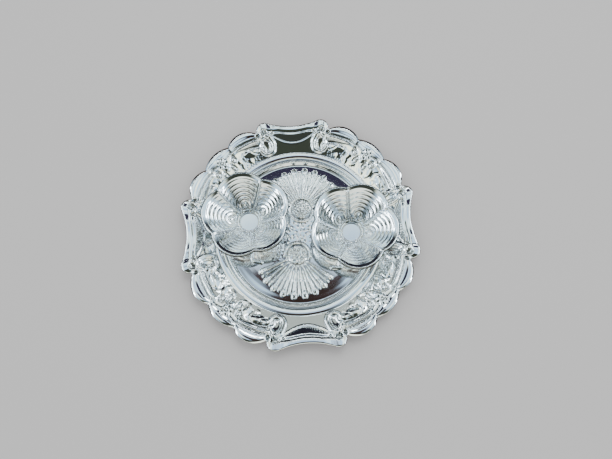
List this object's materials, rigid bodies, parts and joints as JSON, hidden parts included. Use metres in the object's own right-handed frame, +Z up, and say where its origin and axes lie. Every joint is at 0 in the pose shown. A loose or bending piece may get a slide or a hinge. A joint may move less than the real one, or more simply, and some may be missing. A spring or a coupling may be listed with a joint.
{
  "type": "offering plate",
  "caption": "Silver-plated offering plate with a scrolled, lobed rim and a round well, carrying two loose flower-shaped bowls with petalled sides.",
  "frame": {"origin": "centre of the plate's flat underside, on the surface it stands on", "axes": "+Z up; +X and +Y through the middles of two neighbouring bracket-shaped cartouches of the rim, the bowls standing side by side along X"},
  "size_m": [0.1708, 0.1708, 0.0238],
  "materials": {
    "plate_silver": "polished",
    "bowl_silver": "polished"
  },
  "bodies": {
    "plate": {"plate": "plate_silver"},
    "left_bowl": {"left_flower_bowl": "bowl_silver"},
    "right_bowl": {"right_flower_bowl": "bowl_silver"}
  },
  "joints": [
    {"name": "left_bowl_lift", "type": "slide", "parent": "plate", "child": "left_bowl", "axis": [0, 0, 1], "range_m": [0, 0.06]},
    {"name": "right_bowl_lift", "type": "slide", "parent": "plate", "child": "right_bowl", "axis": [0, 0, 1], "range_m": [0, 0.06]}
  ]
}
